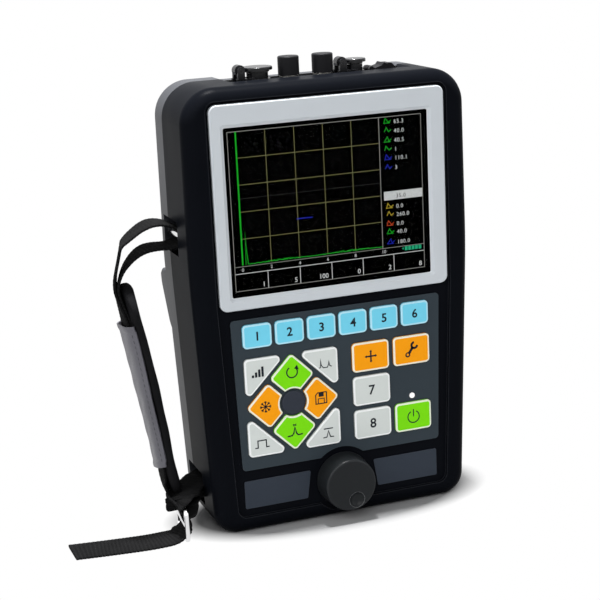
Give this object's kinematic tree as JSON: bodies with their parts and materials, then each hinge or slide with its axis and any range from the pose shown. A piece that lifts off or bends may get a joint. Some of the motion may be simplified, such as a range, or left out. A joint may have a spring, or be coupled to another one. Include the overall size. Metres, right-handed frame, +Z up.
{
  "type": "ultrasonic flaw detector",
  "caption": "Hand-held ultrasonic flaw detector with screen, colour keypad, knob, capped sockets on top, folding rear stand and a padded hand strap on its left side.",
  "frame": {"origin": "on the case's flat bottom, midway across its width and 26 mm behind its front face", "axes": "+X to the right seen from the front, the screen faces -Y, +Z up"},
  "size_m": [0.22, 0.0751, 0.2416],
  "materials": {
    "case_black": "soft-touch moulded black, fine grain",
    "case_rear": "moulded dark grey, fine grain",
    "rubber": "matt black moulded rubber",
    "steel": "plain steel",
    "bezel_grey": "light silver grey paint on plastic",
    "window": "clear cover, glossy",
    "lcd_black": "dark display panel",
    "overlay_slate": "dark slate printed film, fine texture",
    "plate_slate": "darker slate printed film, bare",
    "hub_black": "black, satin",
    "light_white": "milky lens",
    "mat_rubber": "grey silicone",
    "board_green": "green circuit board",
    "board_part": "black component",
    "knob_black": "satin black, thin bright edge at the face",
    "socket_nickel": "nickel plate",
    "lid_black": "black moulded",
    "chrome": "bright plated",
    "webbing": "ribbed black woven webbing",
    "pad_fabric": "black neoprene with fabric face",
    "sleeve_vinyl": "dark grey grained vinyl",
    "battery_wrap": "shrink wrap",
    "key_blue": "sky blue key",
    "key_orange": "orange key",
    "key_green": "green key",
    "key_grey": "light grey key"
  },
  "bodies": {
    "case": {"front_shell": "case_black", "rear_shell": "case_rear", "case_seal": "rubber", "case_screws": "steel", "screen_bezel": "bezel_grey", "display_window": "window", "lcd_module": "lcd_black", "keypad_overlay": "overlay_slate", "nav_hub": "hub_black", "status_light": "light_white", "keypad_mat": "mat_rubber", "keypad_board": "board_green", "left_plate": "plate_slate", "right_plate": "plate_slate", "encoder": "board_part", "left_probe_socket": "socket_nickel", "right_probe_socket": "socket_nickel", "large_socket": "lid_black", "small_socket": "lid_black", "lid_hinge_pins": "steel", "port_socket": "lid_black", "strap_pins": "chrome", "strap_webbing": "webbing", "anchor_webbing": "webbing", "grip_pad": "pad_fabric", "grip_sleeve": "sleeve_vinyl", "buckle": "chrome", "stand_pin": "steel", "battery_cover": "case_rear", "cover_screws": "steel", "battery_pack": "battery_wrap", "main_board": "board_green", "beeper": "board_part"},
    "key_f1": {"key_f1": "key_blue"},
    "key_f2": {"key_f2": "key_blue"},
    "key_f3": {"key_f3": "key_blue"},
    "key_f4": {"key_f4": "key_blue"},
    "key_f5": {"key_f5": "key_blue"},
    "key_f6": {"key_f6": "key_blue"},
    "key_up": {"key_up": "key_green"},
    "key_left": {"key_left": "key_orange"},
    "key_right": {"key_right": "key_orange"},
    "key_down": {"key_down": "key_green"},
    "key_gain": {"key_gain": "key_grey"},
    "key_echo": {"key_echo": "key_grey"},
    "key_pulse": {"key_pulse": "key_grey"},
    "key_gate": {"key_gate": "key_grey"},
    "key_plus": {"key_plus": "key_orange"},
    "key_setup": {"key_setup": "key_orange"},
    "key_upper_grey": {"key_upper_grey": "key_grey"},
    "key_lower_grey": {"key_lower_grey": "key_grey"},
    "key_power": {"key_power": "key_green"},
    "knob": {"knob": "knob_black", "encoder_shaft": "steel"},
    "left_dust_cap": {"left_dust_cap": "rubber"},
    "right_dust_cap": {"right_dust_cap": "rubber"},
    "large_lid": {"large_lid": "lid_black"},
    "small_lid": {"small_lid": "lid_black"},
    "port_cover": {"port_cover": "rubber"},
    "rear_stand": {"rear_stand": "case_rear"}
  },
  "joints": [
    {"name": "key_f1_press", "type": "slide", "parent": "case", "child": "key_f1", "axis": [0, 1, 0], "range_m": [0, 0.001], "stiffness_N_per_m": 500},
    {"name": "key_f2_press", "type": "slide", "parent": "case", "child": "key_f2", "axis": [0, 1, 0], "range_m": [0, 0.001], "stiffness_N_per_m": 500},
    {"name": "key_f3_press", "type": "slide", "parent": "case", "child": "key_f3", "axis": [0, 1, 0], "range_m": [0, 0.001], "stiffness_N_per_m": 500},
    {"name": "key_f4_press", "type": "slide", "parent": "case", "child": "key_f4", "axis": [0, 1, 0], "range_m": [0, 0.001], "stiffness_N_per_m": 500},
    {"name": "key_f5_press", "type": "slide", "parent": "case", "child": "key_f5", "axis": [0, 1, 0], "range_m": [0, 0.001], "stiffness_N_per_m": 500},
    {"name": "key_f6_press", "type": "slide", "parent": "case", "child": "key_f6", "axis": [0, 1, 0], "range_m": [0, 0.001], "stiffness_N_per_m": 500},
    {"name": "key_up_press", "type": "slide", "parent": "case", "child": "key_up", "axis": [0, 1, 0], "range_m": [0, 0.001], "stiffness_N_per_m": 500},
    {"name": "key_left_press", "type": "slide", "parent": "case", "child": "key_left", "axis": [0, 1, 0], "range_m": [0, 0.001], "stiffness_N_per_m": 500},
    {"name": "key_right_press", "type": "slide", "parent": "case", "child": "key_right", "axis": [0, 1, 0], "range_m": [0, 0.001], "stiffness_N_per_m": 500},
    {"name": "key_down_press", "type": "slide", "parent": "case", "child": "key_down", "axis": [0, 1, 0], "range_m": [0, 0.001], "stiffness_N_per_m": 500},
    {"name": "key_gain_press", "type": "slide", "parent": "case", "child": "key_gain", "axis": [0, 1, 0], "range_m": [0, 0.001], "stiffness_N_per_m": 500},
    {"name": "key_echo_press", "type": "slide", "parent": "case", "child": "key_echo", "axis": [0, 1, 0], "range_m": [0, 0.001], "stiffness_N_per_m": 500},
    {"name": "key_pulse_press", "type": "slide", "parent": "case", "child": "key_pulse", "axis": [0, 1, 0], "range_m": [0, 0.001], "stiffness_N_per_m": 500},
    {"name": "key_gate_press", "type": "slide", "parent": "case", "child": "key_gate", "axis": [0, 1, 0], "range_m": [0, 0.001], "stiffness_N_per_m": 500},
    {"name": "key_plus_press", "type": "slide", "parent": "case", "child": "key_plus", "axis": [0, 1, 0], "range_m": [0, 0.001], "stiffness_N_per_m": 500},
    {"name": "key_setup_press", "type": "slide", "parent": "case", "child": "key_setup", "axis": [0, 1, 0], "range_m": [0, 0.001], "stiffness_N_per_m": 500},
    {"name": "key_upper_grey_press", "type": "slide", "parent": "case", "child": "key_upper_grey", "axis": [0, 1, 0], "range_m": [0, 0.001], "stiffness_N_per_m": 500},
    {"name": "key_lower_grey_press", "type": "slide", "parent": "case", "child": "key_lower_grey", "axis": [0, 1, 0], "range_m": [0, 0.001], "stiffness_N_per_m": 500},
    {"name": "key_power_press", "type": "slide", "parent": "case", "child": "key_power", "axis": [0, 1, 0], "range_m": [0, 0.001], "stiffness_N_per_m": 500},
    {"name": "knob_turn", "type": "hinge", "parent": "case", "child": "knob", "pos_m": [-0.0005, -0.03, 0.0208], "axis": [0, -1, 0], "continuous": true},
    {"name": "left_cap_pull", "type": "slide", "parent": "case", "child": "left_dust_cap", "axis": [0, 0, 1], "range_m": [0, 0.03]},
    {"name": "right_cap_pull", "type": "slide", "parent": "case", "child": "right_dust_cap", "axis": [0, 0, 1], "range_m": [0, 0.03]},
    {"name": "large_lid_swing", "type": "hinge", "parent": "case", "child": "large_lid", "pos_m": [-0.03615, 0.005, 0.2362], "axis": [0, -1, 0], "range_deg": [0, 110]},
    {"name": "small_lid_swing", "type": "hinge", "parent": "case", "child": "small_lid", "pos_m": [0.01905, 0.005, 0.2362], "axis": [0, -1, 0], "range_deg": [0, 110]},
    {"name": "port_cover_swing", "type": "hinge", "parent": "case", "child": "port_cover", "pos_m": [0.0349, 0.005, 0.2318], "axis": [0, -1, 0], "range_deg": [0, 80]},
    {"name": "stand_swing", "type": "hinge", "parent": "case", "child": "rear_stand", "pos_m": [0, 0.033, 0.09924], "axis": [1, 0, 0], "range_deg": [0, 35]}
  ]
}
